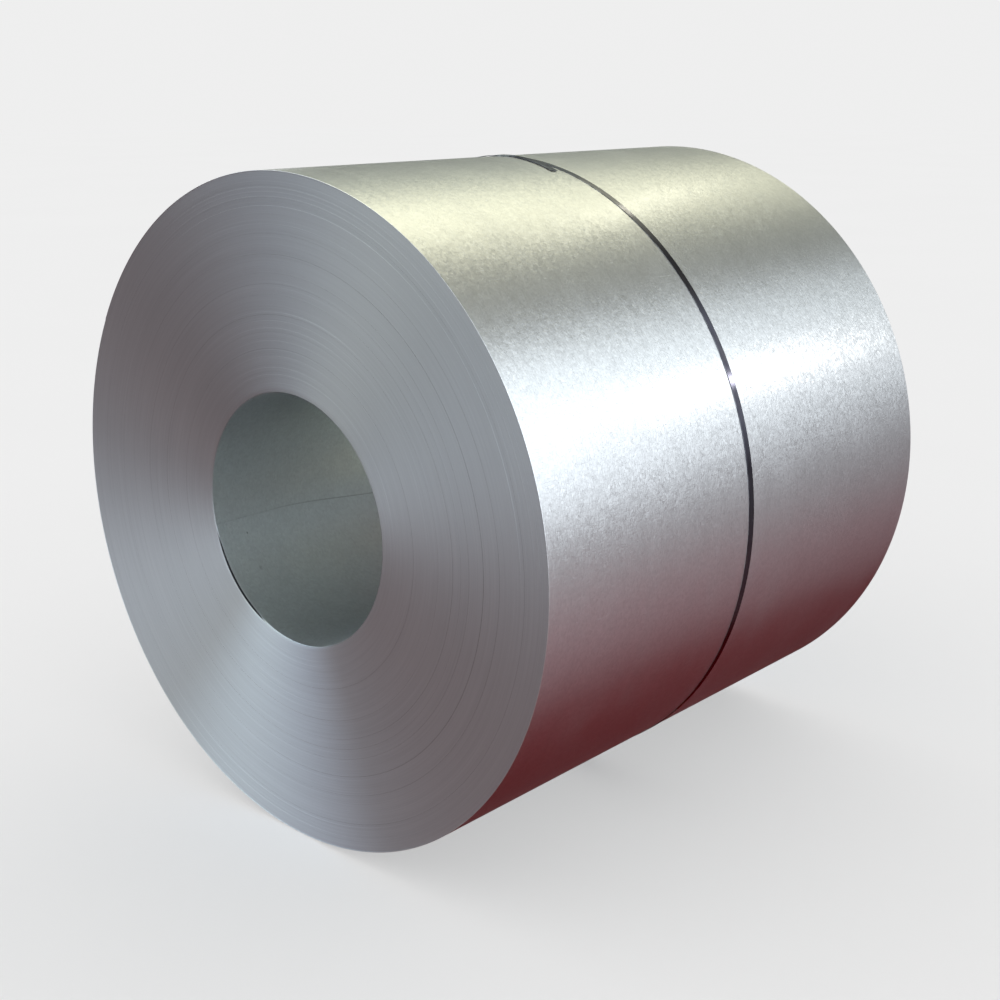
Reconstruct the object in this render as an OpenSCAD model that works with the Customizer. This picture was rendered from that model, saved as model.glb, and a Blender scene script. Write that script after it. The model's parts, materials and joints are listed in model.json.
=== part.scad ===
// Coil of galvanised steel strip lying on its side, with one steel strap round its girth.
// The coil's axis is level along Y, the seen end faces -Y and the floor is at Z = 0.

/* [Coil] */
// Outside diameter over the last turn
coil_od = 1340; // [1000:10:1800]
// Bore diameter left by the mandrel
coil_id = 508; // [406:2:762]
// Width of the strip
strip_w = 1250; // [600:10:1650]
// Thickness of the strip
strip_t = 1; // [0.5:0.1:2]

/* [Turns on the ends] */
// Number of bands of turns that show on each end
bands = 26; // [8:1:40]
// How far the turns at the bore lie behind the turns at the rim
dish = 15; // [0:1:40]
// How far a band of turns can lie behind its neighbours
band_step = 1.2; // [0.2:0.1:3]
// Radius of the rounded edge of the outer turns
rim_r = 5; // [2:0.5:12]

/* [Ends of the strip] */
// Place of the inner end round the bore, in degrees up from +X
inner_end = 194; // [180:1:210]
// Arc over which the bared turn beside the inner end runs back to the bore, in degrees
inner_run = 60; // [30:5:80]
// Place of the outer end round the wall, in degrees up from +X
outer_end = 150; // [110:1:180]
// Arc over which the bared turn past the outer end runs out to the wall, in degrees
outer_run = 90; // [30:5:120]
// Width of the gap where the innermost turn stands off at the seen end
slack_gap = 4; // [1:0.5:10]
// Middle of that gap round the bore, in degrees up from +X
slack_angle = 222; // [215:1:240]
// Half of the arc that the gap takes, in degrees
slack_half = 26; // [15:1:40]
// How far the gap reaches in from the seen end
slack_depth = 90; // [20:5:200]

/* [Strap] */
// Width of the strap
strap_w = 16; // [10:1:32]
// Thickness of the strap
strap_t = 0.8; // [0.5:0.1:1.5]
// Room between the strap and the wall of the coil
strap_seat = 0.2; // [0.1:0.1:0.5]
// Mean place of the strap, measured from the strip's middle towards the seen end
strap_off = -22.7; // [-200:0.1:200]
// How far the strap leans along the coil on either side of that place
strap_skew = 46.7; // [0:0.1:80]
// Where round the coil the strap lies nearest the seen end, in degrees up from +X
skew_angle = 17; // [0:1:359]
// Room between the strap's two ends where they lap
lap_room = 0.5; // [0.4:0.1:1]
// Length of the slope that lifts the upper end over the lower one
lift_len = 40; // [30:5:80]
// Length of the lower end past the seal
lower_len = 25; // [10:5:60]
// Length of the free tail past the seal
tail_len = 158; // [60:1:200]
// Length of that tail that runs straight on before it turns aside
straight_len = 6; // [6:1:20]
// Angle at which the tail leaves the strap
tail_slant = 12; // [0:1:12]

/* [Seal] */
// Place of the seal round the coil, in degrees up from +X
seal_angle = 90; // [70:1:100]
// Length of the seal along the strap
seal_len = 36; // [28:1:60]
// Thickness of the seal's sheet
seal_t = 0.8; // [0.5:0.1:1.5]
// Room between the strap and the inside of the seal
seal_room = 0.3; // [0.2:0.1:0.5]
// Depth of the crimped notches in the seal's edges
notch_depth = 2.5; // [1:0.5:4]
// Width of a crimped notch at the edge
notch_w = 6; // [3:0.5:8]

/* [Hidden] */
$fn = 240;
cut = 1;
coil_r = coil_od / 2;
bore_r = coil_id / 2;
band_w = (coil_r - rim_r - bore_r) / bands;
strap_r = coil_r + strap_seat;
upper_r = strap_r + strap_t + lap_room;
axis_h = strap_r + strap_t;
far_reach = strip_w + dish + band_step;
golden_turn = 137.5;
spare_arc = 15;
let_in = 0.05;

// Arc in degrees of a length laid round the wall
function arc(length) = length / coil_r * 180 / PI;

// Point at a radius and an angle
function polar(r, a) = [r * cos(a), r * sin(a)];

// How far band i lies behind the foremost edge of the rim: the dish, and the band's own stagger
function lag(i) =
    dish * (1 - (i + 0.5) / bands) + band_step * (1 + sin(i * golden_turn)) / 2;

lags = [for (i = [0 : bands - 1]) lag(i)];
rim_lag = lags[bands - 1];

// Outline of one end, from the bore to the rounded rim: a step between two bands slopes over one turn
function end_steps() =
    [for (i = [0 : bands - 1]) each [
        [bore_r + i * band_w + (i == 0 ? 0 : strip_t / 2), -lags[i]],
        [bore_r + (i + 1) * band_w - (i == bands - 1 ? 0 : strip_t / 2), -lags[i]]]];

near_rim = [for (a = [90 : -15 : 0]) [coil_r - rim_r, -rim_lag - rim_r] + rim_r * [cos(a), sin(a)]];
far_rim = [for (a = [0 : -15 : -90]) [coil_r - rim_r, rim_r - rim_lag] + rim_r * [cos(a), sin(a)]];

seal_half = arc(seal_len / 2);
seal_end = seal_angle - seal_half;
tail_root = seal_end - arc(straight_len);
lower_end = seal_angle + seal_half + arc(lower_len);
lift_top = lower_end + arc(lap_room + strap_t);
lift_foot = lift_top + arc(lift_len);

// Place of the strap along the coil at an angle round it
function strap_place(a) = strap_off + strap_skew * cos(a - skew_angle);

// Lays a shape turned about Z on the floor with its top at the seen end
module lay_down() {
    translate([0, -(min(lags) + max(lags)) / 2, axis_h]) rotate([90, 0, 0]) children();
}

// Slice of a disc between two angles less than half a turn apart
module slice(r, from, to) {
    reach = r / cos((to - from) / 2);
    polygon([[0, 0], polar(reach, from), polar(reach, to)]);
}

// Every turn is as wide as the strip, so the far end repeats the near end's steps
module turned_coil() {
    near = concat(end_steps(), near_rim);
    far = concat(far_rim, [for (i = [2 * bands - 1 : -1 : 0]) end_steps()[i]]);
    rotate_extrude()
        polygon(concat(
            [for (p = near) p + [0, strip_w / 2]],
            [for (p = far) p - [0, strip_w / 2]]));
}

// The second turn, bared beside the inner end and running back into the bore
module inner_end_step() {
    shift = strip_t / (1 - cos(inner_run));
    linear_extrude(2 * far_reach, center = true)
        intersection() {
            translate(polar(shift, inner_end)) circle(bore_r + strip_t - shift);
            slice(coil_r, inner_end - inner_run - spare_arc, inner_end);
        }
}

// The last turn but one, bared past the outer end and running out to the wall
module outer_end_step() {
    shift = strip_t / (1 - cos(outer_run));
    linear_extrude(2 * far_reach, center = true)
        intersection() {
            difference() {
                circle(coil_r + cut);
                translate(polar(-shift, outer_end)) circle(coil_r - strip_t + shift);
            }
            slice(2 * coil_r, outer_end, outer_end + outer_run + spare_arc);
        }
}

// The crescent left where the innermost turn stands off at the seen end
module slack_crescent() {
    shift = slack_gap / (1 - cos(slack_half));
    translate([0, 0, strip_w / 2 - dish - band_step - slack_depth])
        linear_extrude(slack_depth + dish + band_step + cut)
            difference() {
                translate(polar(shift, slack_angle)) circle(bore_r + strip_t + slack_gap - shift);
                circle(bore_r + strip_t);
            }
}

// A flat band bent round the coil's axis
module bent_band(r, thickness, width, from, sweep) {
    rotate([0, 0, from])
        rotate_extrude(angle = sweep)
            translate([r, -width / 2]) square([thickness, width]);
}

// Slab right across the coil that leans as the strap does
module leaning_slab(width) {
    translate([0, 0, strap_off])
        rotate([0, 0, skew_angle])
            rotate([0, -atan(strap_skew / coil_r), 0])
                cube([3 * coil_r, 3 * coil_r, width], center = true);
}

// A bent band that leans as the strap does
module leaning_band(r, thickness, width, from, sweep) {
    intersection() {
        bent_band(r, thickness, 2 * far_reach, from, sweep);
        leaning_slab(width);
    }
}

// Ring of the strap's thickness, seen along the coil's axis
module strap_ring(r) {
    difference() {
        circle(r + strap_t);
        circle(r);
    }
}

// The slope from the wall up to the lap, let into the strap at its two ends
module strap_slope() {
    thin = strap_t / 2 - let_in;
    foot = lift_foot + arc(cut);
    top = lift_top - arc(cut);
    polygon([
        polar(strap_r + strap_t / 2 - thin, foot),
        polar(upper_r + strap_t / 2 - thin, top),
        polar(upper_r + strap_t / 2 + thin, top),
        polar(strap_r + strap_t / 2 + thin, foot)]);
}

// The strap from its lower end once round the coil, up the slope and through the seal
module strap_loop() {
    intersection() {
        leaning_slab(strap_w);
        linear_extrude(2 * far_reach, center = true) {
            difference() {
                strap_ring(strap_r);
                slice(2 * coil_r, lower_end, lift_foot);
            }
            strap_slope();
            intersection() {
                strap_ring(upper_r);
                slice(2 * coil_r, tail_root, lift_top);
            }
        }
    }
}

// The free tail, a flat strip let into the strap past the seal, turned aside and bent round the coil
module strap_tail() {
    free_len = tail_len - straight_len;
    tail_arc = arc(tail_len + strap_w);
    strap_lean = atan(strap_skew / coil_r * sin(tail_root - skew_angle));
    translate([0, 0, strap_place(tail_root)])
        intersection() {
            bent_band(
                upper_r + let_in, strap_t - 2 * let_in, 2 * tail_len, tail_root - tail_arc, 2 * tail_arc);
            rotate([0, 0, tail_root]) rotate([0, 90, 0]) linear_extrude(2 * coil_r)
                rotate(-strap_lean - tail_slant)
                    translate([-strap_w / 2, -free_len]) square([strap_w, free_len + cut]);
        }
}

// V-shaped crimp notches in both edges of the seal
module crimp_notches(edge) {
    for (side = [-1, 1], a = [seal_angle - seal_half / 2, seal_angle + seal_half / 2])
        rotate([0, 0, a])
            translate([coil_r - cut, 0, strap_place(a) + side * edge])
                rotate([0, 90, 0])
                    linear_extrude(2 * (upper_r - coil_r + strap_t + seal_t + cut))
                        polygon([
                            [side * notch_depth, 0],
                            [-side * cut, -notch_w / 2],
                            [-side * cut, notch_w / 2]]);
}

module coil() {
    color([0.68, 0.69, 0.70]) lay_down() difference() {
        turned_coil();
        inner_end_step();
        outer_end_step();
        slack_crescent();
    }
}

module strap() {
    color([0.25, 0.26, 0.31]) lay_down() {
        strap_loop();
        strap_tail();
    }
}

module strap_seal() {
    inside_w = strap_w + 2 * seal_room;
    inside_h = upper_r + strap_t + seal_room - strap_r;
    outside_w = inside_w + 2 * seal_t;
    color([0.36, 0.37, 0.42]) lay_down() difference() {
        leaning_band(strap_r, inside_h + seal_t, outside_w, seal_end, 2 * seal_half);
        leaning_band(strap_r - cut, inside_h + cut, inside_w, seal_end - cut, 2 * (seal_half + cut));
        crimp_notches(outside_w / 2);
    }
}

coil();
strap();
strap_seal();
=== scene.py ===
"""Steel coil lying on its side: a coil of galvanised strip, one strap round its girth and the strap's seal.

All lengths are in metres. The coil's axis is level along Y, the seen end faces -Y and the floor is at
Z = 0. Angles round the coil are measured from +X up towards +Z.
"""

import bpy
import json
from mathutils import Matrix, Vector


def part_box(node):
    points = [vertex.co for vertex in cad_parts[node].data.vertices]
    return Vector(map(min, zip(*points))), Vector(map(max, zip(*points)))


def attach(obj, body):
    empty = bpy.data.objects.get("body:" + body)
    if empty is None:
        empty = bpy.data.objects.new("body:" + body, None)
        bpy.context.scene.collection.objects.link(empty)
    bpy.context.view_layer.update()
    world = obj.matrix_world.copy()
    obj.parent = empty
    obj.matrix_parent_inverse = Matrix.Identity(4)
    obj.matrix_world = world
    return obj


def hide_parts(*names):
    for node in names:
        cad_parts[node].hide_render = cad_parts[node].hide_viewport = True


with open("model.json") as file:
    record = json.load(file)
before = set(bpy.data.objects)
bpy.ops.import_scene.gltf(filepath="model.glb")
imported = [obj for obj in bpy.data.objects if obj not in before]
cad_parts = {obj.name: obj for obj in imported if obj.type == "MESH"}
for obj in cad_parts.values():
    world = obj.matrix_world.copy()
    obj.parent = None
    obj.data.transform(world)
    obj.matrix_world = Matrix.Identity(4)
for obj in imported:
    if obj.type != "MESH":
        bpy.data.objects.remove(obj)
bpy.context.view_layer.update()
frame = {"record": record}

import json
import math
import random

import bpy
import numpy as np
from bpy.props import FloatProperty, FloatVectorProperty, IntProperty, PointerProperty
from bpy.types import Operator, Panel, PropertyGroup
from mathutils import Matrix, Vector

bl_info = {
    "name": "Steel Coil",
    "version": (1, 0, 0),
    "blender": (4, 5, 0),
    "location": "View3D > Sidebar > Steel Coil",
    "description": "Builds a strapped coil of galvanised steel strip and a studio to show it in",
    "category": "Add Mesh",
}

MM = 0.001
TURN = 2 * math.pi
BORE = frame["record"]["mounts"][0]
AXIS_HEIGHT = BORE["pos_m"][2]
BORE_RADIUS = BORE["dims"]["r_mm"] / 1000
STRIP_WIDTH = BORE["dims"]["length_mm"] / 1000
COIL_LOW, COIL_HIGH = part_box("coil")
# A little inside the solid's wall, so that the visual model stays within its box
COIL_RADIUS = COIL_HIGH.x - 0.1 * MM
# Stretch along the coil over which the cut of the strip's inner end runs aside
SKEW_START, SKEW_STOP = -0.47, -0.07


# Settings

def LengthProperty(name, description, default, precision=4, **limits):
    """A length, in metres."""
    return FloatProperty(
        name=name, description=description, default=default, unit="LENGTH", precision=precision, **limits)


def AngleProperty(name, description, degrees):
    """An angle, its default given in degrees."""
    return FloatProperty(name=name, description=description, default=math.radians(degrees), subtype="ANGLE")


def ColourProperty(name, description, default, most=1):
    """A colour."""
    return FloatVectorProperty(
        name=name, description=description, default=default, size=3, min=0, max=most, subtype="COLOR")


def LevelProperty(name, description, default):
    """A brightness."""
    return FloatProperty(name=name, description=description, default=default, min=0)


class CoilSettings(PropertyGroup):
    """Shape and finish of the wound strip."""

    strip_thickness: LengthProperty("Strip thickness", "Thickness of the strip", 1 * MM, min=0.3 * MM)
    near_bands: IntProperty(
        name="Near bands", description="Bands of turns that stand out on the seen end", default=84, min=8)
    far_bands: IntProperty(
        name="Far bands", description="Bands of turns that stand out on the far end", default=36, min=8)
    columns: IntProperty(name="Columns", description="Points round the coil", default=300, min=48)
    stagger: LengthProperty(
        "Stagger", "How far one band of turns can lie behind its neighbours", 0.5 * MM, min=0)
    rim_radius: LengthProperty(
        "Rim radius", "Rounding of the outer turns at both rims", 0.8 * MM, min=0.3 * MM)
    inner_end: AngleProperty(
        "Inner end", "Place of the strip's inner end round the bore, at the seen end", 193.3)
    inner_skew: AngleProperty("Inner skew", "How far the cut of the inner end runs round the bore", 6.5)
    outer_end: AngleProperty("Outer end", "Place of the strip's outer end round the wall", 150)
    slack_gap: LengthProperty(
        "Slack gap", "Width of the gap where the innermost turn stands off", 4 * MM, min=0)
    slack_depth: LengthProperty(
        "Slack depth", "How far the gap reaches in from the seen end", 90 * MM, min=0)
    slack_angle: AngleProperty("Slack angle", "Middle of the gap round the bore", 222)
    zinc_colour: ColourProperty("Zinc", "Colour of the galvanised wall", (0.76, 0.765, 0.77))
    edge_colour: ColourProperty(
        "Strip edges", "Colour of the strip's edges on the ends", (0.64, 0.665, 0.685))
    bore_colour: ColourProperty("Bore", "Colour of the innermost turn", (0.80, 0.84, 0.845))
    # The gap colour is painted shade, put on the faces inside the gaps between turns
    gap_shade_colour: ColourProperty(
        "Gap", "Colour of the oily film that shows in gaps between turns", (0.03, 0.03, 0.04))


class StrapSettings(PropertyGroup):
    """Shape and finish of the strap and its seal."""

    width: LengthProperty("Width", "Width of the strap", 16 * MM)
    thickness: LengthProperty("Thickness", "Thickness of the strap", 0.8 * MM, precision=5)
    seat: LengthProperty("Seat", "Room between the strap and the wall", 0.2 * MM, precision=5)
    middle: LengthProperty("Middle", "Mean place of the strap along the coil", 15.3 * MM)
    skew: LengthProperty("Skew", "How far the strap leans along the coil from its middle", 46.7 * MM)
    skew_angle: AngleProperty("Skew angle", "Where round the coil the strap lies nearest the seen end", 17)
    lap_room: LengthProperty(
        "Lap room", "Room between the strap's ends where they lap", 0.5 * MM, precision=5)
    tail_length: LengthProperty("Tail", "Length of the free tail past the seal", 158 * MM)
    tail_slant: AngleProperty("Tail slant", "Angle at which the tail leaves the strap", 12)
    seal_angle: AngleProperty("Seal angle", "Place of the seal round the coil", 90)
    seal_length: LengthProperty("Seal length", "Length of the seal along the strap", 36 * MM)
    seal_sheet: LengthProperty("Seal sheet", "Thickness of the seal's sheet", 0.8 * MM, precision=5)
    seal_room: LengthProperty("Seal room", "Room between the strap and the seal", 0.3 * MM, precision=5)
    crimp_depth: LengthProperty("Crimp depth", "How far a crimp presses in the seal's edge", 1.5 * MM)
    strap_colour: ColourProperty("Strap", "Colour of the blued strap", (0.08, 0.078, 0.10))
    seal_colour: ColourProperty("Seal", "Colour of the seal", (0.22, 0.24, 0.24))


class StageSettings(PropertyGroup):
    """Floor, light and camera."""

    floor_colour: ColourProperty("Floor", "Colour of the floor", (0.86, 0.86, 0.86))
    backdrop_colour: ColourProperty("Backdrop", "Colour behind the floor", (0.86, 0.86, 0.86))
    dome_colour: ColourProperty(
        "Dome", "Soft light from all sides that falls on the floor", (1.0, 1.0, 1.0), most=2)
    side_panel: LevelProperty("Side panel", "Brightness of the white panel beside the coil", 1.5)
    low_panel: LevelProperty("Low panel", "Brightness of the glow below the side panel", 0.09)
    top_panel: LevelProperty("Top panel", "Brightness of the warm panel above the coil", 1.5)
    front_panel: LevelProperty("Front panel", "Brightness of the cool panel before the seen end", 0.78)
    side_light: LevelProperty("Side light", "Brightness of the narrow light within the side panel", 17.0)
    top_light: LevelProperty("Top light", "Brightness of the narrow light within the top panel", 6.0)
    fill_light: LevelProperty("Fill light", "Brightness of the strip light on the coil's other side", 1.5)
    camera_azimuth: AngleProperty(
        "Azimuth", "Place of the camera round the coil, from -Y towards +X", 42.338)
    camera_elevation: AngleProperty("Elevation", "Angle at which the camera looks down", 16.167)
    camera_place: FloatVectorProperty(
        name="Camera", description="Place of the camera",
        default=(2.1435, -2.3700, 1.5081), size=3, subtype="TRANSLATION", unit="LENGTH")
    camera_lens: FloatProperty(
        name="Lens", description="Focal length on a 36 mm sensor, in millimetres", default=52.865)


class SteelCoilSettings(PropertyGroup):
    """Everything that the operators read."""

    coil: PointerProperty(type=CoilSettings)
    strap: PointerProperty(type=StrapSettings)
    stage: PointerProperty(type=StageSettings)


# Meshes

def round_the_coil(radius, angle, across):
    """Points at radii, angles and places along the coil."""
    radius, angle, across = np.broadcast_arrays(radius, angle, across)
    return np.stack(
        [radius * np.cos(angle), across, AXIS_HEIGHT + radius * np.sin(angle)], axis=-1)


def smooth(x):
    """Eases from 0 to 1."""
    x = np.clip(x, 0, 1)
    return x * x * (3 - 2 * x)


def put_in_scene(name, data):
    """An object for a mesh, a light or a camera, in the scene."""
    made = bpy.data.objects.new(name, data)
    bpy.context.scene.collection.objects.link(made)
    return made


def mesh_of_rings(name, rings, ring_looped, sharp_angle, creased=()):
    """A mesh of quads between closed rings of points, rings being an array (rings, columns, 3).

    It is smooth but for edges above the sharp angle, in degrees, and along the creased rings.
    """
    count, columns = rings.shape[:2]
    index = np.arange(count * columns).reshape(count, columns)
    if ring_looped:
        index = np.vstack([index, index[:1]])
    index = np.hstack([index, index[:, :1]])
    quads = np.stack([index[:-1, :-1], index[1:, :-1], index[1:, 1:], index[:-1, 1:]], axis=-1)
    faces = quads.reshape(-1, 4).tolist()
    if not ring_looped:
        faces += [index[0, :columns].tolist(), index[-1, :columns][::-1].tolist()]
    mesh = bpy.data.meshes.new(name)
    mesh.from_pydata(rings.reshape(-1, 3).tolist(), [], faces)
    mesh.shade_smooth()
    mesh.set_sharp_from_angle(angle=math.radians(sharp_angle))
    ends = np.empty(2 * len(mesh.edges), np.int32)
    mesh.edges.foreach_get("vertices", ends)
    ring = ends.reshape(-1, 2) // columns
    sharp = np.empty(len(mesh.edges), bool)
    mesh.edges.foreach_get("use_edge_sharp", sharp)
    sharp |= (ring[:, 0] == ring[:, 1]) & np.isin(ring[:, 0], creased)
    mesh.edges.foreach_set("use_edge_sharp", sharp)
    return mesh


class CoilShape:
    """The wound strip as rings of points round its axis."""

    # Steps between bands that stand out on the ends: place as a share of the coil's radius, and height
    MAIN_STEPS = ((0.505, 0.5), (0.60, 0.4), (0.66, 0.35), (0.685, 0.3), (0.715, 0.3), (0.775, 1.0),
                  (0.83, 0.4), (0.92, 0.4))
    # Narrowest and widest band, as shares of the mean width
    BAND_WIDTHS = (0.45, 1.55)
    # Most that a band lies back by chance, where a main step of height 1 makes 0.25
    CHANCE_STEP = 0.35
    # Width of the slope between two bands, a band's waviness round the coil, and the lean of its edges
    RISER, WOBBLE, LEAN = 0.25 * MM, 0.02 * MM, 0.006 * MM
    # Width of the gap at a main step, its faces dark with painted shade: the least, and what its height
    # adds
    LEAST_GAP, GAP_GROWTH = 0.1 * MM, 0.25 * MM
    # Arcs over which the bared turns run back to the bore and out to the wall
    INNER_RUN, OUTER_RUN = math.radians(60), math.radians(90)
    # Columns beside the step at each end of the strip, as angles from it
    STEP_COLUMNS = tuple(place * math.radians(0.02) for place in (-8, -1, 1, 8))
    # Arc on either side of the inner end that follows its skewed cut
    SKEW_ARC = math.radians(30)
    # Half of the arc that the slack gap takes
    SLACK_HALF = math.radians(26)
    # Bevel of the innermost turn's edge at the seen end, tight and loosened, and at the far end
    TIGHT_BEVEL, LOOSE_BEVEL, FAR_BEVEL = 0.7 * MM, 0.1 * MM, 0.3 * MM
    # How far the loosened edge lies back, how thin it looks there, and the rounding of the turn beside it
    LOOSE_BACK, LOOSE_EDGE, LOOSE_LIP = 2.2 * MM, 0.4 * MM, 2 * MM
    # The closed seam between the innermost turn and the next: its width, depth and rounding
    SEAM_WIDTH, SEAM_DEPTH, SEAM_LIP = 0.2 * MM, 1 * MM, 0.1 * MM
    # How far both bore edges lie inside the box, and where the bore's first ring lies behind the seen edge
    INSET, BORE_START = 0.1 * MM, 0.6 * MM
    # Distance from a rim to the wall ring that keeps the shading flat beside it
    RIM_SUPPORT = 0.5 * MM
    RIM_STEPS, WALL_RINGS, BORE_RINGS = 6, 30, 24
    NEAR_SEED, FAR_SEED = 11, 23

    def __init__(self, settings):
        self.s = settings
        even = np.linspace(0, TURN, settings.columns, endpoint=False)
        ends = [settings.inner_end, settings.outer_end]
        beside = [end + place for end in ends for place in self.STEP_COLUMNS]
        self.angle = np.sort(np.concatenate([even, beside]))
        self.rings, self.kinds, self.creased = [], [], []
        self.reach = COIL_HIGH.y - COIL_LOW.y - STRIP_WIDTH
        self.dish = self.reach - settings.stagger

    def off(self, place):
        """Angle of each column from a place round the coil, half a turn either way."""
        return (self.angle - place + math.pi) % TURN - math.pi

    def wall(self):
        """Radius of the wall: past the outer end the turn below is bared and runs out to the wall."""
        past = (self.angle - self.s.outer_end) % TURN
        return COIL_RADIUS - self.s.strip_thickness * (1 - smooth(past / self.OUTER_RUN))

    def bore(self):
        """Radius of the bore: before the inner end the second turn is bared and runs back to the bore."""
        before = (self.s.inner_end - self.angle) % TURN
        return BORE_RADIUS + self.s.strip_thickness * (1 - smooth(before / self.INNER_RUN))

    def slack(self):
        """Share of the full gap at each angle where the innermost turn stands off."""
        least = math.cos(self.SLACK_HALF)
        return np.clip((np.cos(self.off(self.s.slack_angle)) - least) / (1 - least), 0, 1)

    def add_ring(self, kind, radius, across, shift=0):
        """Adds a ring; kind names the finish of the surface that follows it."""
        self.rings.append(round_the_coil(radius, self.angle + shift, across))
        self.kinds.append(kind)

    def add_bore(self, across, kind="bore"):
        """Adds a ring of the bore, its columns shifted to follow the skewed cut of the inner end."""
        skew = self.s.inner_skew * smooth((across - SKEW_START) / (SKEW_STOP - SKEW_START))
        near = 1 - smooth(np.abs(self.off(self.s.inner_end)) / self.SKEW_ARC)
        self.add_ring(kind, self.bore(), across, skew * near)

    def bands(self, count, seed):
        """Edges of the bands of turns from bore to rim, how far each lies back, and the gap past each."""
        draw = random.Random(seed)
        widths = np.array([draw.uniform(*self.BAND_WIDTHS) for _ in range(count)])
        edges = np.concatenate([[0], np.cumsum(widths) / widths.sum()])
        inside = BORE_RADIUS + 4 * self.s.strip_thickness + self.s.slack_gap
        outside = COIL_RADIUS - 1.2 * self.s.strip_thickness - self.s.rim_radius
        edges = inside + edges * (outside - inside)
        middles = (edges[:-1] + edges[1:]) / 2
        stagger = np.array([draw.uniform(0, self.CHANCE_STEP) for _ in range(count)])
        gaps = np.zeros(count)
        for place, height in self.MAIN_STEPS:
            stagger += height * (middles > place * COIL_RADIUS) / 4
            last = np.searchsorted(middles, place * COIL_RADIUS) - 1
            gaps[last] = self.LEAST_GAP + self.GAP_GROWTH * height
        stagger *= self.s.stagger / stagger.max()
        return edges, stagger, gaps, draw

    def end_face(self, front, outwards, count, seed):
        """Rings of one end; front is where its foremost point lies and outwards the way they run."""
        edges, stagger, gaps, draw = self.bands(count, seed)
        cone = self.dish * (COIL_RADIUS - edges) / (COIL_RADIUS - BORE_RADIUS)
        rings, kinds = [], []
        for i in range(count):
            phase, waves = draw.uniform(0, TURN), draw.choice((1, 2, 3))
            lag = stagger[i] + self.WOBBLE * (1 + np.sin(waves * self.angle + phase)) / 2
            lean = draw.uniform(-1, 1) * self.LEAN
            slope = 0 if i == 0 else gaps[i - 1] or self.RISER
            rings.append((edges[i] + slope, np.clip(cone[i] + lag - lean, 0, self.reach)))
            rings.append((edges[i + 1], np.clip(cone[i + 1] + lag + lean, 0, self.reach)))
            # Faces in a main step's gap take the painted shade finish
            kinds += ["edges", "gap" if gaps[i] else "edges"]
        if not outwards:
            rings, kinds = rings[::-1], kinds[-2::-1] + ["edges"]
        for kind, (radius, back) in zip(kinds, rings):
            self.creased.append(len(self.rings))
            self.add_ring(kind, radius, front + back)

    def near_slack(self, front):
        """The innermost turn's edge at the seen end, and the gap behind it."""
        slack, inner = self.slack(), self.bore()
        loose = smooth(1.8 * slack)
        bevel = self.TIGHT_BEVEL + (self.LOOSE_BEVEL - self.TIGHT_BEVEL) * loose
        face = front + self.reach - self.INSET
        edge = face + self.LOOSE_BACK * loose
        firm = np.maximum(BORE_RADIUS + self.s.strip_thickness, inner + 1.2 * bevel)
        outer = firm + (inner + self.LOOSE_EDGE - firm) * loose
        wall = firm + self.SEAM_WIDTH + self.s.slack_gap * slack ** 0.7
        floor = face + self.SEAM_DEPTH + self.s.slack_depth * np.minimum(1, 3 * slack)
        lip = self.SEAM_LIP + self.LOOSE_LIP * loose
        self.add_ring("edges", inner, edge + bevel)
        self.add_ring("edges", inner + bevel, edge)
        # The slack gap's faces take the painted shade finish
        self.add_ring("gap", outer, edge)
        self.add_ring("gap", outer, floor)
        self.add_ring("gap", wall, floor)
        self.add_ring("edges", wall, face + lip / 4)
        self.add_ring("edges", wall + lip, face)

    def rim(self, front, side):
        """The rounded rim: side is -1 at the seen end and 1 at the far end."""
        radius = self.s.rim_radius
        for i in range(self.RIM_STEPS + 1)[::-side]:
            a = math.pi / 2 * i / self.RIM_STEPS
            across = front - side * radius * (1 - math.cos(a))
            self.add_ring("wall", self.wall() - radius + radius * math.sin(a), across)

    def build(self):
        """All rings, from the bore's edge at the seen end out, along the wall and back through the bore."""
        near, far = COIL_LOW.y, COIL_LOW.y + STRIP_WIDTH
        self.near_slack(near)
        self.end_face(near, True, self.s.near_bands, self.NEAR_SEED)
        self.rim(near, -1)
        start, stop = near + self.s.rim_radius, far - self.s.rim_radius
        between = np.linspace(start, stop, self.WALL_RINGS)[1:-1]
        for across in (start + self.RIM_SUPPORT, *between, stop - self.RIM_SUPPORT):
            self.add_ring("wall", self.wall(), across)
        self.rim(far, 1)
        self.end_face(far, False, self.s.far_bands, self.FAR_SEED)
        back = far + self.reach - self.INSET
        front = near + self.reach + self.BORE_START
        self.add_bore(back, "edges")
        for across in np.linspace(back - self.FAR_BEVEL, front, self.BORE_RINGS)[:-1]:
            self.add_bore(across)
        return np.array(self.rings)


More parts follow.
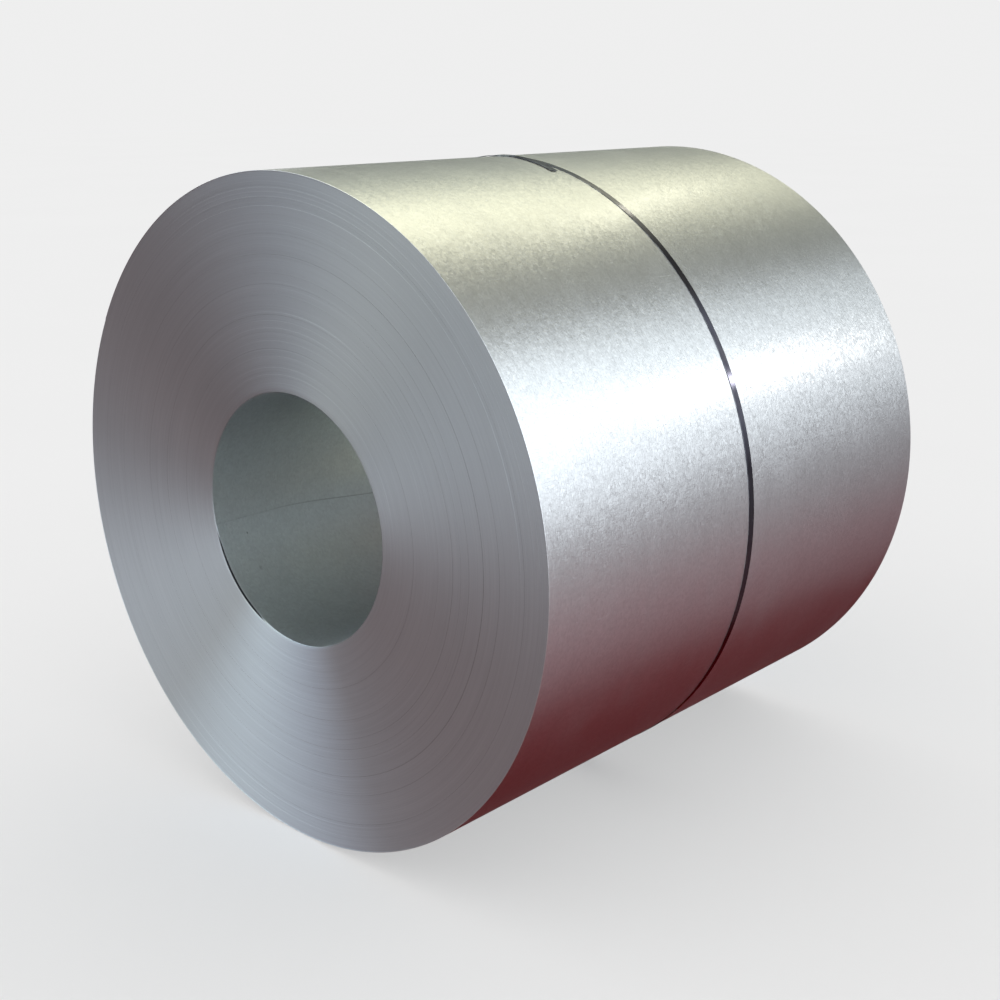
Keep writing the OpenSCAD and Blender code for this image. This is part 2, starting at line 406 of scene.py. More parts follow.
class StrapPath:
    """The strap as one ribbon: under the seal, round the coil, over its own end and out as the tail."""

    # Lengths of the lower end past the seal, of the slope over it, and of the bend at the tail's root
    LOWER_END, SLOPE, TAIL_BEND = 25 * MM, 40 * MM, 12 * MM
    # Half the length of a crimp
    CRIMP_HALF = 3 * MM
    # Spare arcs past the seal and before the slope that get the closer cross-sections too
    PAST_SEAL, BEFORE_SLOPE = 0.04, 0.02
    # Cross-sections through the lap, round the coil, and from the slope to the end of the tail
    SECTIONS = (60, 330, 150)
    # Angle between the two points that give the ribbon's direction
    STEP = 1e-4

    def __init__(self, settings):
        s = self.s = settings
        lift = s.thickness + s.lap_room
        self.low = COIL_RADIUS + s.seat + s.thickness / 2
        self.high = self.low + lift
        self.seal_half = s.seal_length / 2 / COIL_RADIUS
        self.start = s.seal_angle + self.seal_half + self.LOWER_END / COIL_RADIUS
        self.lift_top = self.start + lift / COIL_RADIUS - TURN
        self.lift_foot = self.lift_top + self.SLOPE / COIL_RADIUS
        self.tail_root = s.seal_angle - self.seal_half - TURN
        self.stop = self.tail_root - s.tail_length * math.cos(s.tail_slant) / COIL_RADIUS

    def across(self, angle):
        """Place along the coil, with the tail leaving the strap at its slant."""
        s, bend = self.s, self.TAIL_BEND
        on_strap = s.middle - s.skew * np.cos(angle - s.skew_angle)
        tail = np.maximum(self.tail_root - angle, 0) * COIL_RADIUS
        eased = np.where(tail < bend, tail * tail / (2 * bend), tail - bend / 2)
        return on_strap - math.tan(s.tail_slant) * eased

    def radius(self, angle):
        """Height of the ribbon's middle, lifted over the lower end."""
        lifted = smooth((self.lift_foot - angle) / (self.lift_foot - self.lift_top))
        return self.low + (self.high - self.low) * lifted

    def crimp(self, angle):
        """How far the crimps press in the edges, at each angle."""
        s = self.s
        off = (angle - s.seal_angle + math.pi) % TURN - math.pi
        place = np.abs(np.abs(off * COIL_RADIUS) - s.seal_length / 4)
        return s.crimp_depth * smooth(1 - place / self.CRIMP_HALF)

    def stations(self):
        """Angles at which the ribbon has a cross-section, closer where it bends or is crimped."""
        past_seal, before_slope = self.s.seal_angle - self.PAST_SEAL, self.lift_foot + self.BEFORE_SLOPE
        marks = [self.start, past_seal, before_slope, self.stop]
        parts = [np.linspace(*span, endpoint=False) for span in zip(marks, marks[1:], self.SECTIONS)]
        return np.concatenate(parts + [[self.stop]])

    def point(self, angle):
        """Middle of the ribbon at each angle."""
        return round_the_coil(self.radius(angle), angle, self.across(angle))

    def frames(self, angle):
        """Middle, width direction and outward direction of the ribbon at each angle."""
        middle = self.point(angle)
        along = self.point(angle - self.STEP) - middle
        along /= np.linalg.norm(along, axis=1, keepdims=True)
        out = round_the_coil(np.ones_like(angle), angle, 0.0) - np.array([0, 0, AXIS_HEIGHT])
        width = np.cross(along, out)
        width /= np.linalg.norm(width, axis=1, keepdims=True)
        return middle, width, np.cross(width, along)


def rounded_bar(half_width, half_height, corner, steps=3):
    """Outline of a flat bar's cross-section with rounded corners, its flats kept flat beside them."""
    points = []
    for x, y, start in ((1, 1, 0), (-1, 1, 90), (-1, -1, 180), (1, -1, 270)):
        bend = []
        for i in range(steps + 1):
            a = math.radians(start + 90 * i / steps)
            bend.append((x * (half_width - corner) + corner * math.cos(a),
                         y * (half_height - corner) + corner * math.sin(a)))
        beside = (x * (half_width - 3 * corner), y * half_height)
        points += bend + [beside] if x == y else [beside] + bend
    return np.array(points)


def folded_sleeve(half_width, height, sheet, corner, steps=4):
    """Outline of the seal's cross-section: out over the strap and back along its inside."""
    points = []
    for grow, way in ((sheet, 1), (0.0, -1)):
        side, top, bend = half_width + grow, height + grow, corner + grow
        shoulder = [(side, 0.0)]
        for i in range(steps + 1):
            a = math.pi / 2 * i / steps
            shoulder.append((side - bend + bend * math.cos(a), top - bend + bend * math.sin(a)))
        points += (shoulder + [(-x, y) for x, y in reversed(shoulder)])[::way]
    return np.array(points)


def ribbon(middle, width, out, outline, pinch):
    """Rings of a cross-section carried along a path; pinch narrows it at each station."""
    side = np.sign(outline[:, 0]) * np.maximum(np.abs(outline[:, 0]) - pinch[:, None], 0)
    return (middle[:, None] + side[..., None] * width[:, None]
            + outline[None, :, 1, None] * out[:, None])


def lay_out(mesh, rings, outline):
    """Stores how far along the ribbon each point lies, and how far across it, from -1 to 1."""
    steps = np.linalg.norm(np.diff(rings.mean(axis=1), axis=0), axis=1)
    laid = np.zeros(rings.shape)
    laid[..., 0] = np.concatenate([[0], np.cumsum(steps)])[:, None]
    laid[..., 1] = outline[:, 0] / np.abs(outline[:, 0]).max()
    layer = mesh.attributes.new("laid", "FLOAT_VECTOR", "POINT")
    layer.data.foreach_set("vector", laid.astype(np.float32).ravel())


# Shader nodes

def fill(tree, node, inputs):
    """Fills a node's inputs with values or with links from other nodes."""
    for key, value in inputs.items():
        if isinstance(value, bpy.types.NodeSocket):
            tree.links.new(value, node.inputs[key])
        else:
            node.inputs[key].default_value = value


def add(tree, kind, inputs=None, **settings):
    """Adds a node, sets it and fills its inputs."""
    made = tree.nodes.new(kind)
    made.location = (190 * len(tree.nodes), 0)
    for name, value in settings.items():
        setattr(made, name, value)
    fill(tree, made, inputs or {})
    return made


def maths(tree, operation, first, second=0.0, third=0.0):
    """A Math node's result."""
    return add(tree, "ShaderNodeMath", {0: first, 1: second, 2: third}, operation=operation).outputs[0]


def vectors(tree, operation, *inputs):
    """A Vector Math node's result."""
    made = add(tree, "ShaderNodeVectorMath", dict(enumerate(inputs)), operation=operation)
    return made.outputs["Value" if operation in ("LENGTH", "DOT_PRODUCT") else "Vector"]


def scaled(tree, vector, by):
    """A vector or a colour times a number."""
    return add(tree, "ShaderNodeVectorMath", {0: vector, "Scale": by}, operation="SCALE").outputs[0]


def joined(tree, x, y=0.0, z=0.0):
    """A Combine XYZ node's vector."""
    return add(tree, "ShaderNodeCombineXYZ", {"X": x, "Y": y, "Z": z}).outputs[0]


def split(tree, vector):
    """A Separate XYZ node's outputs."""
    return add(tree, "ShaderNodeSeparateXYZ", {0: vector}).outputs


def remap(tree, value, low, high, to_low, to_high, interpolation="LINEAR"):
    """A Map Range node's result."""
    made = add(tree, "ShaderNodeMapRange", {"Value": value, 1: low, 2: high, 3: to_low, 4: to_high},
               interpolation_type=interpolation)
    return made.outputs[0]


def blend_colours(tree, share, first, second, kind="MIX"):
    """A colour Mix node's result."""
    made = add(tree, "ShaderNodeMix", {0: share, 6: first, 7: second}, data_type="RGBA", blend_type=kind)
    return made.outputs[2]


def noise(tree, vector, scale, detail, roughness=0.5):
    """A Noise Texture node's outputs, the value first."""
    return add(tree, "ShaderNodeTexNoise", {
        "Vector": vector, "Scale": scale, "Detail": detail, "Roughness": roughness}).outputs


def bump(tree, height, distance, **more):
    """A Bump node's normal."""
    inputs = {"Strength": 1.0, "Distance": distance, "Height": height, **more}
    return add(tree, "ShaderNodeBump", inputs).outputs[0]


def opaque(colour, scale=1.0):
    """A colour socket's value."""
    return (*(scale * c for c in colour), 1.0)


def new_group(name, inputs, outputs):
    """An empty node group with named number sockets, the outputs of its first node and its last node."""
    tree = bpy.data.node_groups.new(name, "ShaderNodeTree")
    for way, labels in (("INPUT", inputs), ("OUTPUT", outputs)):
        for label in labels:
            kind = "NodeSocketVector" if label in ("Vector", "Heading") else "NodeSocketFloat"
            tree.interface.new_socket(name=label, in_out=way, socket_type=kind)
    return tree, tree.nodes.new("NodeGroupInput").outputs, tree.nodes.new("NodeGroupOutput")


def group(tree, name, make, inputs):
    """Places a node group in a tree, making it the first time, and gives its outputs."""
    shared = bpy.data.node_groups.get(name) or make(name)
    return add(tree, "ShaderNodeGroup", inputs, node_tree=shared).outputs


def make_lay_of_strip(name):
    """Where a point lies on the strip: round from the strip's end, across it, and out from the axis."""
    tree, given, end = new_group(name, ["End", "Skew"], ["Round", "Across", "Radius", "Heading"])
    place = split(tree, add(tree, "ShaderNodeTexCoord").outputs["Object"])
    up = maths(tree, "SUBTRACT", place["Z"], AXIS_HEIGHT)
    flat = joined(tree, place["X"], z=up)
    radius = vectors(tree, "LENGTH", flat)
    lean = remap(tree, place["Y"], SKEW_START, SKEW_STOP, 0.0, 1.0, "SMOOTHSTEP")
    cut = maths(tree, "MULTIPLY_ADD", lean, given["Skew"], given["End"])
    angle = maths(tree, "ARCTAN2", up, place["X"])
    turned = maths(tree, "WRAP", maths(tree, "SUBTRACT", angle, cut), TURN, 0.0)
    fill(tree, end, {"Round": maths(tree, "MULTIPLY", turned, radius), "Across": place["Y"],
                     "Radius": radius, "Heading": vectors(tree, "NORMALIZE", flat)})
    return tree


def make_rolled_grain(name):
    """Fine grain drawn out along the strip by rolling, and the faint bands across its width."""
    tree, given, end = new_group(name, ["Round", "Across", "Length", "Width"], ["Grain", "Mottle", "Bands"])
    along = maths(tree, "DIVIDE", given["Round"], given["Length"])
    across = maths(tree, "DIVIDE", given["Across"], given["Width"])
    fine = joined(tree, along, across)
    drawn = joined(tree, maths(tree, "MULTIPLY", along, 0.004), maths(tree, "MULTIPLY", across, 0.14))
    fill(tree, end, {"Grain": noise(tree, fine, 1.0, 3.0, 0.6)[0],
                     "Mottle": noise(tree, fine, 0.11, 3.0, 0.6)[0],
                     "Bands": noise(tree, drawn, 1.0, 4.0, 0.6)[0]})
    return tree


def make_zinc_spangle(name):
    """Fine zinc crystals with ragged edges: a random tone for each, and a random tilt given as a height."""
    tree, given, end = new_group(name, ["Round", "Across", "Size"], ["Tone", "Height"])
    flat = joined(tree, maths(tree, "DIVIDE", given["Round"], given["Size"]),
                  maths(tree, "DIVIDE", given["Across"], given["Size"]))
    stray = noise(tree, flat, 1.7, 3.0)["Color"]
    ragged = vectors(tree, "MULTIPLY_ADD", stray, (1.1, 1.1, 0.0), flat)
    crystal = add(tree, "ShaderNodeTexVoronoi", {"Vector": ragged, "Scale": 1.0},
                  voronoi_dimensions="2D").outputs
    lean = vectors(tree, "SUBTRACT", crystal["Color"], (0.5, 0.5, 0.5))
    offset = vectors(tree, "SUBTRACT", ragged, crystal["Position"])
    fill(tree, end, {"Tone": split(tree, crystal["Color"])["Z"],
                     "Height": vectors(tree, "DOT_PRODUCT", lean, offset)})
    return tree


def make_handling_marks(name):
    """Faint cloudy smudges left by handling, as a mask."""
    tree, given, end = new_group(name, ["Vector", "Size"], ["Smudge"])
    cloud = noise(tree, given["Vector"], maths(tree, "DIVIDE", 1.0, given["Size"]), 5.0, 0.62)[0]
    fill(tree, end, {"Smudge": remap(tree, cloud, 0.48, 0.72, 0.0, 1.0, "SMOOTHSTEP")})
    return tree


# Finishes

# Size of a zinc crystal, and length and width of the grain that rolling leaves
SPANGLE_SIZE, GRAIN_LENGTH, GRAIN_WIDTH = 6 * MM, 7 * MM, 4 * MM
# Scuffs in the bore: how far round from the strip's end, place across it, size and strength
SCUFFS = ((0.033, -0.548, 0.007, 0.9), (0.112, -0.548, 0.014, 0.3), (0.080, -0.315, 0.008, 0.2))
# Fine, middle and broad rings on the ends: rings a metre, change round the coil, and detail
EDGE_RINGS = ((560.0, 2.2, 2.0), (170.0, 1.3, 3.0), (26.0, 0.7, 2.0))
# Direction of the painted sheen on the ends, in degrees up from +X, and how much brighter it makes them;
# the opposite side gets painted shade
SHEEN_SIDE, SHEEN_GAIN = 262, (1.22, 1.28, 1.34)
BARE_STEEL, HANDLED_STEEL = (0.42, 0.42, 0.43), (0.16, 0.14, 0.13)


def new_material(name):
    """A material, its node tree and its shader."""
    made = bpy.data.materials.new(name)
    made.use_nodes = True
    return made, made.node_tree, made.node_tree.nodes["Principled BSDF"]


def smudges(tree, size):
    """Mask of handling marks in the object's own coordinates."""
    place = add(tree, "ShaderNodeTexCoord").outputs["Object"]
    return group(tree, "handling_marks", make_handling_marks, {"Vector": place, "Size": size})[0]


def zinc_finish(name, colour, lay_inputs, roughness, tilt, marks=()):
    """Galvanised strip as it shows on the wall and in the bore; tilt is how far its crystals lean."""
    material, tree, shader = new_material(name)
    lay = group(tree, "lay_of_strip", make_lay_of_strip, lay_inputs)
    where = {"Round": lay["Round"], "Across": lay["Across"]}
    spangle = group(tree, "zinc_spangle", make_zinc_spangle, {**where, "Size": SPANGLE_SIZE})
    grain = group(tree, "rolled_grain", make_rolled_grain,
                  {**where, "Length": GRAIN_LENGTH, "Width": GRAIN_WIDTH})
    tone = remap(tree, grain["Mottle"], 0.3, 0.7, 0.0, 1.0)
    base = blend_colours(tree, tone, opaque(colour, 0.98), opaque(colour, 1.02))
    speck = remap(tree, spangle["Tone"], 0.0, 1.0, 0.96, 1.04)
    base = blend_colours(tree, 1.0, base, speck, "MULTIPLY")
    speck = remap(tree, grain["Grain"], 0.3, 0.7, 0.95, 1.05)
    base = blend_colours(tree, 1.0, base, speck, "MULTIPLY")
    smudge = smudges(tree, 0.16)
    base = blend_colours(tree, maths(tree, "MULTIPLY", smudge, 0.06), base, opaque(colour, 0.72))
    # Scuffs are real dark marks in the bore; the end shadow is a painted shadow along the cut of the
    # strip's inner end
    for scuff_or_shadow in marks:
        base = blend_colours(tree, scuff_or_shadow(tree, lay), base, opaque(colour, 0.3))
    rough = remap(tree, grain["Bands"], 0.3, 0.7, roughness - 0.015, roughness + 0.02)
    rough = maths(tree, "ADD", rough, maths(tree, "MULTIPLY", smudge, 0.03))
    relief = tilt * SPANGLE_SIZE
    facets = bump(tree, spangle["Height"], relief)
    fill(tree, shader, {"Base Color": base, "Roughness": rough, "Metallic": 1.0,
                        "Normal": bump(tree, grain["Grain"], 0.6 * relief, Normal=facets)})
    return material


def end_shadow(tree, lay):
    """Painted shadow: a dark line along the cut of the strip's inner end, on the turn that it bares."""
    full = maths(tree, "MULTIPLY", lay["Radius"], TURN)
    left = maths(tree, "SUBTRACT", full, lay["Round"])
    line = remap(tree, left, 0.6 * MM, 4 * MM, 1.0, 0.0, "SMOOTHSTEP")
    strength = remap(tree, lay["Across"], -0.55, -0.25, 0.1, 0.45, "SMOOTHSTEP")
    return maths(tree, "MULTIPLY", line, strength)


def scuff(round_, across, size, strength):
    """A small ragged scuff in the bore, as far round from the strip's end and across as given."""

    def mask(tree, lay):
        offset = joined(tree, maths(tree, "SUBTRACT", lay["Round"], round_),
                        maths(tree, "SUBTRACT", lay["Across"], across))
        stray = noise(tree, offset, 0.9 / size, 3.0)[0]
        ragged = maths(tree, "MULTIPLY_ADD", stray, 1.6 * size, vectors(tree, "LENGTH", offset))
        return remap(tree, ragged, 0.7 * size, 1.3 * size, strength, 0.0, "SMOOTHSTEP")

    return mask


def edge_finish(name, colour):
    """The strip's slit edges on the ends: fine rings that scatter light outwards, with a painted sheen on
    one side and painted shade on the opposite side.
    """
    material, tree, shader = new_material(name)
    lay = group(tree, "lay_of_strip", make_lay_of_strip, {})
    rings = []
    for scale, turn, detail in EDGE_RINGS:
        drift = scaled(tree, lay["Heading"], turn)
        out = joined(tree, 0.0, maths(tree, "MULTIPLY", lay["Radius"], scale))
        rings.append(noise(tree, vectors(tree, "ADD", drift, out), 1.0, detail, 0.6)[0])
    fine, middle, broad = rings
    mixed = maths(tree, "MULTIPLY_ADD", middle, 0.4, maths(tree, "MULTIPLY", broad, 0.15))
    mixed = maths(tree, "MULTIPLY_ADD", fine, 0.45, mixed)
    tone = remap(tree, mixed, 0.36, 0.64, 0.0, 1.0)
    base = blend_colours(tree, tone, opaque(colour, 0.95), opaque(colour, 1.04))
    smudge = maths(tree, "MULTIPLY", smudges(tree, 0.22), 0.08)
    base = blend_colours(tree, smudge, base, opaque(colour, 0.75))
    # Painted light: a painted sheen brightens the ends towards one side, and painted shade darkens the
    # opposite side
    side = math.radians(SHEEN_SIDE)
    toward = vectors(tree, "DOT_PRODUCT", lay["Heading"], (math.cos(side), 0.0, math.sin(side)))
    painted_shade = remap(tree, toward, -0.65, -0.15, 0.87, 1.0, "SMOOTHSTEP")
    base = blend_colours(tree, 1.0, base, painted_shade, "MULTIPLY")
    sheen_base = blend_colours(tree, 1.0, base, opaque(SHEEN_GAIN), "MULTIPLY")
    painted_sheen = remap(tree, toward, 0.82, 0.99, 0.0, 1.0, "SMOOTHSTEP")
    base = blend_colours(tree, painted_sheen, base, sheen_base)
    tangent = add(tree, "ShaderNodeTangent", direction_type="RADIAL", axis="Y").outputs[0]
    fill(tree, shader, {"Base Color": base, "Roughness": remap(tree, mixed, 0.36, 0.64, 0.545, 0.515),
                        "Metallic": 1.0, "Anisotropic": 0.75, "Anisotropic Rotation": 0.25,
                        "Tangent": tangent, "Normal": bump(tree, fine, 0.008 * MM)})
    return material


def gap_shade_finish(name, colour):
    """Painted shade: a near-black finish on the turns within a gap, where shade falls, with a faint random
    mottle.
    """
    material, tree, shader = new_material(name)
    shade_mottle = smudges(tree, 0.02)
    fill(tree, shader, {"Base Color": blend_colours(tree, shade_mottle, opaque(colour, 0.7), opaque(colour, 1.4)),
                        "Roughness": remap(tree, shade_mottle, 0.0, 1.0, 0.55, 0.75)})
    return material


def blued_finish(name, colour, roughness):
    """Blued steel with bare metal showing along its edges."""
    material, tree, shader = new_material(name)
    laid = split(tree, add(tree, "ShaderNodeAttribute", attribute_name="laid").outputs["Vector"])
    drawn = joined(tree, maths(tree, "MULTIPLY", laid["X"], 30.0), maths(tree, "MULTIPLY", laid["Y"], 4.0))
    streak = noise(tree, drawn, 1.0, 4.0)[0]
    tone = remap(tree, streak, 0.3, 0.7, 0.0, 1.0)
    base = blend_colours(tree, tone, opaque(colour, 0.75), opaque(colour, 1.3))
    edge = remap(tree, maths(tree, "ABSOLUTE", laid["Y"]), 0.9, 1.0, 0.0, 1.0, "SMOOTHSTEP")
    worn = maths(tree, "MULTIPLY", edge, remap(tree, streak, 0.45, 0.6, 0.0, 0.6))
    base = blend_colours(tree, worn, base, opaque(BARE_STEEL))
    smudge = smudges(tree, 0.05)
    base = blend_colours(tree, maths(tree, "MULTIPLY", smudge, 0.25), base, opaque(HANDLED_STEEL))
    rough = remap(tree, streak, 0.3, 0.7, roughness - 0.04, roughness + 0.05)
    fill(tree, shader, {"Base Color": base, "Roughness": maths(tree, "MULTIPLY_ADD", smudge, 0.08, rough),
                        "Metallic": 1.0, "Normal": bump(tree, streak, 0.05 * MM, Strength=0.6)})
    return material


def floor_finish(name, colour):
    """Plain pale floor."""
    material, tree, shader = new_material(name)
    cloud = noise(tree, add(tree, "ShaderNodeTexCoord").outputs["Object"], 0.7, 3.0)[0]
    base = blend_colours(tree, cloud, opaque(colour, 0.99), opaque(colour, 1.01))
    fill(tree, shader, {"Base Color": base, "Roughness": 0.9, "Specular IOR Level": 0.0})
    return material


# Stage

# What the metal reflects beyond the coil: degrees round the axis, and colour
BEHIND = (
    (-180, (0.11, 0.115, 0.12)), (180, (0.11, 0.115, 0.12)), (-158, (0.30, 0.295, 0.30)),
    (-136, (0.075, 0.0, 0.001)), (-110, (0.08, 0.0, 0.001)), (-76, (0.12, 0.004, 0.006)),
    (-56, (0.225, 0.115, 0.127)), (-40, (0.275, 0.16, 0.175)), (-10, (0.28, 0.258, 0.272)),
    (80, (0.25, 0.252, 0.225)), (140, (0.34, 0.38, 0.34)), (155, (0.255, 0.28, 0.26)),
    (168, (0.075, 0.082, 0.078)))
# What it reflects on the near side of the seen end
BEFORE = (
    (-180, (0.26, 0.24, 0.25)), (180, (0.26, 0.24, 0.25)), (-130, (0.24, 0.17, 0.17)),
    (-50, (0.24, 0.17, 0.17)), (0, (0.36, 0.39, 0.44)), (90, (0.45, 0.51, 0.57)), (165, (0.32, 0.36, 0.40)))
# Panels: setting, centre, lean, half width and softness in degrees, reach along the axis, and colour
PANELS = (
    ("side_panel", 26, 14, 28, 26, (0.74, 0.90, 0.15), (0.90, 1.0, 1.07)),
    ("top_panel", 115, -2, 14, 30, (0.74, 0.90, 0.17), (1.0, 0.97, 0.68)),
    ("low_panel", -15, 0, 22, 44, (0.74, 0.86, 0.0), (0.92, 1.0, 1.03)),
    ("front_panel", 135, 0, 24, 30, (-0.3, 0.3, 0.0), (0.83, 0.99, 1.20)))
# Strip lights: setting, place, length, width and colour
STRIP_LIGHTS = (
    ("side_light", (2.2, 2.5, 1.81), 0.45, 0.15, (1.0, 1.0, 1.0)),
    ("top_light", (-0.39, 2.55, 3.1), 0.32, 0.17, (1.0, 0.97, 0.76)),
    ("fill_light", (-2.4, 0.0, 2.0), 2.6, 0.5, (1.0, 1.0, 1.0)))
# Directions along the axis over which what is reflected beyond the coil dims and drops
DIM_START, DIM_STOP = 0.76, 0.90
FLOOR_RADII, FLOOR_COLUMNS = np.array([40.0, 12.0, 5.0, 2.0, 0.5]), 96


def light_panel(tree, angle, along, strength, centre, lean, half, soft, reach, colour):
    """Light of a long soft panel: centre, half width and softness in degrees round the coil's axis.

    Its centre moves by lean degrees, and its light fades, over the reach of directions along the axis.
    """
    low, high, end_level = reach
    share = remap(tree, along, low, high, 0.0, 1.0)
    middle = remap(tree, share, 0.0, 1.0, math.radians(centre), math.radians(centre + lean))
    off = maths(tree, "WRAP", maths(tree, "SUBTRACT", angle, middle), math.pi, -math.pi)
    inside, outside = math.radians(half - soft / 2), math.radians(half + soft / 2)
    mask = remap(tree, maths(tree, "ABSOLUTE", off), inside, outside, 1.0, 0.0, "SMOOTHSTEP")
    fade = remap(tree, share, 0.0, 1.0, strength, strength * end_level)
    return scaled(tree, colour, maths(tree, "MULTIPLY", mask, fade))


def colour_ramp(tree, share, stops):
    """A Color Ramp node's colour; stops are degrees round the axis, both ends first, with colours."""
    made = add(tree, "ShaderNodeValToRGB", {0: share})
    ramp = made.color_ramp
    ramp.interpolation = "EASE"
    for i, (degrees, colour) in enumerate(stops):
        place = (degrees + 180) / 360
        stop = ramp.elements[i] if i < 2 else ramp.elements.new(place)
        stop.position, stop.color = place, opaque(colour)
    return made.outputs[0]


def studio_light(world, stage):
    """Soft panels along the coil and dim surroundings that only the metal reflects, and an even dome."""
    world.use_nodes = True
    tree = world.node_tree
    tree.nodes.clear()
    parts = split(tree, add(tree, "ShaderNodeTexCoord").outputs["Generated"])
    angle = maths(tree, "ARCTAN2", parts["Z"], parts["X"])
    share = remap(tree, angle, -math.pi, math.pi, 0.0, 1.0)
    drop = remap(tree, parts["Y"], DIM_START, DIM_STOP, 0.0, 0.06)
    dim = remap(tree, parts["Y"], DIM_START, DIM_STOP, 1.0, 0.58)
    behind = scaled(tree, colour_ramp(tree, maths(tree, "ADD", share, drop), BEHIND), dim)
    facing = remap(tree, parts["Y"], -1.0, -0.5, 0.74, 1.0)
    before = scaled(tree, colour_ramp(tree, share, BEFORE), facing)
    back_share = remap(tree, parts["Y"], -0.2, 0.35, 0.0, 1.0, "SMOOTHSTEP")
    light = blend_colours(tree, back_share, before, behind)
    for setting, *panel in PANELS:
        glow = light_panel(tree, angle, parts["Y"], getattr(stage, setting), *panel)
        light = vectors(tree, "ADD", light, glow)
    ray = add(tree, "ShaderNodeLightPath").outputs
    not_by_floor = maths(tree, "LESS_THAN", ray["Diffuse Depth"], 0.5)
    in_metal = maths(tree, "MULTIPLY", ray["Is Glossy Ray"], not_by_floor)
    light = blend_colours(tree, in_metal, opaque(stage.dome_colour), light)
    light = blend_colours(tree, ray["Is Camera Ray"], light, opaque(stage.backdrop_colour))
    background = add(tree, "ShaderNodeBackground", {"Color": light, "Strength": 1.0})
    add(tree, "ShaderNodeOutputWorld", {"Surface": background.outputs[0]})
    world.cycles.sampling_method = "NONE"


def strip_light(name, place, length, width, colour, brightness):
    """A long area light beside the coil, parallel to its axis and facing it."""
    lamp = bpy.data.lights.new(name, "AREA")
    lamp.shape = "RECTANGLE"
    lamp.size, lamp.size_y = width, length
    lamp.color = colour
    lamp.energy = math.pi * width * length * brightness
    made = put_in_scene(name, lamp)
    away = Vector((place[0], 0, place[2] - AXIS_HEIGHT)).normalized()
    side = Vector((0, 1, 0)).cross(away)
    made.matrix_world = Matrix.Translation(place) @ Matrix((side, (0, 1, 0), away)).transposed().to_4x4()
    made.visible_camera = made.visible_diffuse = False


# Operators

class COIL_OT_wind(Operator):
    """Winds the strip into a coil with its turns showing on the ends"""

    bl_idname = "steel_coil.wind"
    bl_label = "Wind Coil"

    def execute(self, context):
        s = context.scene.steel_coil.coil
        shape = CoilShape(s)
        rings = shape.build()
        mesh = mesh_of_rings("wound_coil", rings, True, 24, shape.creased)
        # The end shadow is painted shadow; the scuffs are marks in the bore
        marks = [end_shadow] + [scuff(*place) for place in SCUFFS]
        finishes = {
            "wall": zinc_finish("zinc_wall", s.zinc_colour, {"End": s.outer_end},
                                roughness=0.30, tilt=0.048),
            "edges": edge_finish("strip_edges", s.edge_colour),
            "bore": zinc_finish("zinc_bore", s.bore_colour, {"End": s.inner_end, "Skew": s.inner_skew},
                                roughness=0.36, tilt=0.03, marks=marks),
            # Painted shade for the faces inside gaps between turns
            "gap": gap_shade_finish("slack_gap", s.gap_shade_colour),
        }
        for finish in finishes.values():
            mesh.materials.append(finish)
        order = {kind: i for i, kind in enumerate(finishes)}
        slots = np.repeat([order[kind] for kind in shape.kinds], rings.shape[1])
        mesh.polygons.foreach_set("material_index", slots.astype(np.int32))
        coil = put_in_scene("wound_coil", mesh)
        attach(coil, "root")
        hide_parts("coil")
        return {"FINISHED"}


class COIL_OT_strap(Operator):
    """Puts the strap round the coil, with its ends lapped and its tail free"""

    bl_idname = "steel_coil.strap"
    bl_label = "Fit Strap"

    def execute(self, context):
        s = context.scene.steel_coil.strap
        path = StrapPath(s)
        angle = path.stations()
        outline = rounded_bar(s.width / 2, s.thickness / 2, corner=0.3 * MM)
        rings = ribbon(*path.frames(angle), outline, path.crimp(angle))
        mesh = mesh_of_rings("girth_strap", rings, False, 40)
        lay_out(mesh, rings, outline)
        mesh.materials.append(blued_finish("blued_strap", s.strap_colour, roughness=0.12))
        strap = put_in_scene("girth_strap", mesh)
        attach(strap, "root")
        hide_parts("strap")
        return {"FINISHED"}


class COIL_OT_seal(Operator):
    """Crimps the seal over the strap's lapped ends"""

    bl_idname = "steel_coil.seal"
    bl_label = "Crimp Seal"

    def execute(self, context):
        s = context.scene.steel_coil.strap
        path = StrapPath(s)
        angle = np.linspace(s.seal_angle + path.seal_half, s.seal_angle - path.seal_half, 49)
        height = 2 * s.thickness + s.lap_room + s.seal_room
        outline = folded_sleeve(s.width / 2 + s.seal_room, height, s.seal_sheet, corner=0.3 * MM)
        middle, width, out = path.frames(angle)
        foot = middle - out * (s.thickness / 2)
        rings = ribbon(foot, width, out, outline, path.crimp(angle))
        mesh = mesh_of_rings("strap_seal_sleeve", rings, False, 40)
        lay_out(mesh, rings, outline)
        mesh.materials.append(blued_finish("seal_steel", s.seal_colour, roughness=0.32))
        seal = put_in_scene("strap_seal_sleeve", mesh)
        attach(seal, "root")
        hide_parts("strap_seal")
        return {"FINISHED"}


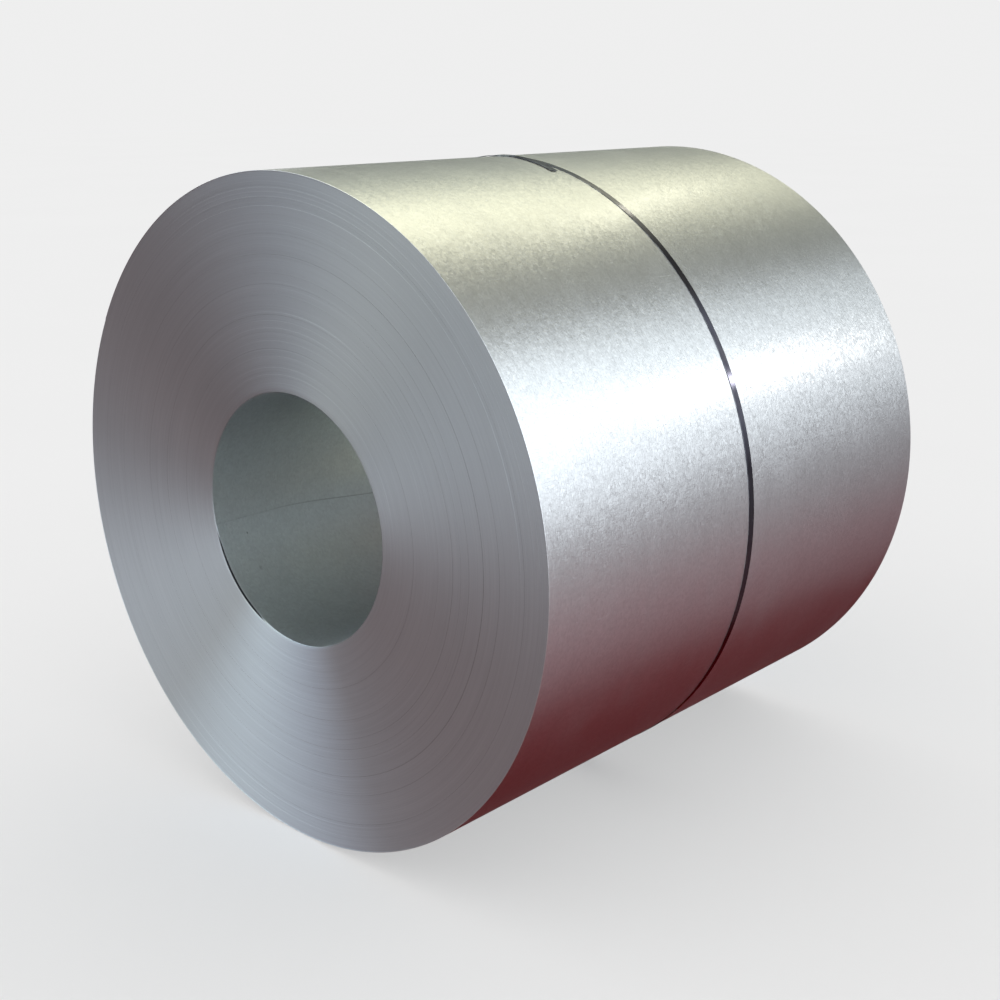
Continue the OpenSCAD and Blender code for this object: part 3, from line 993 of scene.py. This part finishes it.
class COIL_OT_stage(Operator):
    """Sets the floor, the studio light and the camera"""

    bl_idname = "steel_coil.stage"
    bl_label = "Set Stage"

    def floor(self, colour):
        """A wide disc of rings round a middle face."""
        angle = np.linspace(0, TURN, FLOOR_COLUMNS, endpoint=False)
        rings = FLOOR_RADII[:, None, None] * np.stack([np.cos(angle), np.sin(angle), 0 * angle], axis=-1)
        index = np.arange(rings.size // 3).reshape(len(FLOOR_RADII), -1)
        index = np.hstack([index, index[:, :1]])
        quads = np.stack([index[:-1, :-1], index[:-1, 1:], index[1:, 1:], index[1:, :-1]], axis=-1)
        faces = quads.reshape(-1, 4).tolist() + [index[-1, :-1].tolist()]
        mesh = bpy.data.meshes.new("floor")
        mesh.from_pydata(rings.reshape(-1, 3).tolist(), [], faces)
        mesh.materials.append(floor_finish("pale_floor", colour))
        return put_in_scene("floor", mesh)

    def execute(self, context):
        scene = context.scene
        s = scene.steel_coil.stage
        floor = self.floor(s.floor_colour)
        floor.visible_glossy = False
        scene.world = bpy.data.worlds.new("studio_light")
        studio_light(scene.world, s)
        for setting, *lamp in STRIP_LIGHTS:
            strip_light(setting, *lamp, getattr(s, setting))
        lens = bpy.data.cameras.new("camera")
        lens.lens, lens.sensor_width = s.camera_lens, 36.0
        camera = put_in_scene("camera", lens)
        level = math.cos(s.camera_elevation)
        back = Vector((math.sin(s.camera_azimuth) * level, -math.cos(s.camera_azimuth) * level,
                       math.sin(s.camera_elevation)))
        camera.rotation_euler = back.to_track_quat("Z", "Y").to_euler()
        camera.location = s.camera_place
        scene.camera = camera
        scene.view_settings.view_transform = "Standard"
        return {"FINISHED"}


class COIL_PT_panel(Panel):
    """Lists the coil's settings and the steps that build it"""

    bl_idname = "COIL_PT_panel"
    bl_label = "Steel Coil"
    bl_space_type = "VIEW_3D"
    bl_region_type = "UI"
    bl_category = "Steel Coil"

    def draw(self, context):
        settings = context.scene.steel_coil
        for operators, part in ((("wind",), settings.coil), (("strap", "seal"), settings.strap),
                                (("stage",), settings.stage)):
            box = self.layout.box()
            for name in operators:
                box.operator(f"steel_coil.{name}")
            for name in part.__annotations__:
                box.prop(part, name)


CLASSES = (CoilSettings, StrapSettings, StageSettings, SteelCoilSettings,
           COIL_OT_wind, COIL_OT_strap, COIL_OT_seal, COIL_OT_stage, COIL_PT_panel)


def register():
    for cls in CLASSES:
        bpy.utils.register_class(cls)
    bpy.types.Scene.steel_coil = PointerProperty(type=SteelCoilSettings)


def unregister():
    del bpy.types.Scene.steel_coil
    for cls in reversed(CLASSES):
        bpy.utils.unregister_class(cls)


def main():
    register()
    bpy.ops.steel_coil.wind()
    bpy.ops.steel_coil.strap()
    bpy.ops.steel_coil.seal()
    bpy.ops.steel_coil.stage()


if __name__ == "__main__":
    main()
